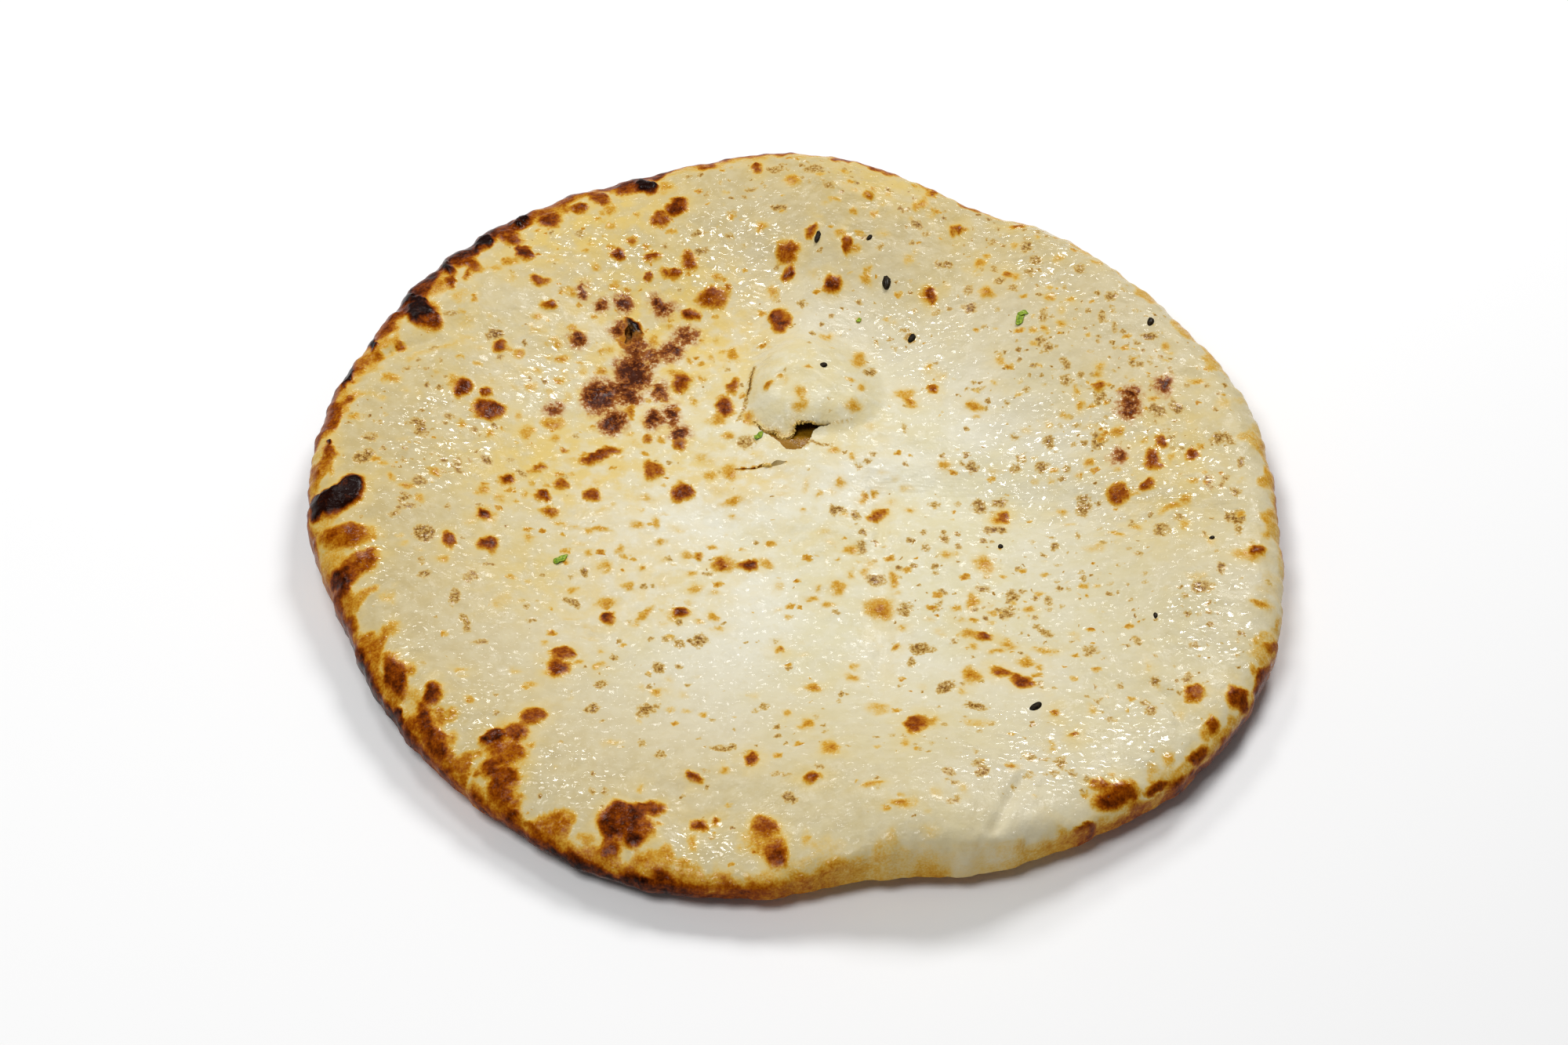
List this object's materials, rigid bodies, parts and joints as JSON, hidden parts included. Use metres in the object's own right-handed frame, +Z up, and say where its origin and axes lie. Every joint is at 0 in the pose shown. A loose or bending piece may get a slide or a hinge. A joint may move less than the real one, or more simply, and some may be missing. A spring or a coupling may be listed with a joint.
{
  "type": "coconut naan",
  "caption": "Round stuffed flatbread with a puffed rim, charred blisters and a torn navel that shows the thin sweet filling inside.",
  "frame": {"origin": "on the table under the middle of the bread", "axes": "+Z up, +Y away from the eater, +X to the eater's right"},
  "size_m": [0.2585, 0.2633, 0.0218],
  "materials": {
    "crust": "baked dough, pale gold with brown and black blisters, brushed with butter",
    "filling": "moist coarse paste of coconut and sugar, khaki yellow"
  },
  "bodies": {
    "root": {"bread": "crust", "filling": "filling"}
  },
  "joints": []
}
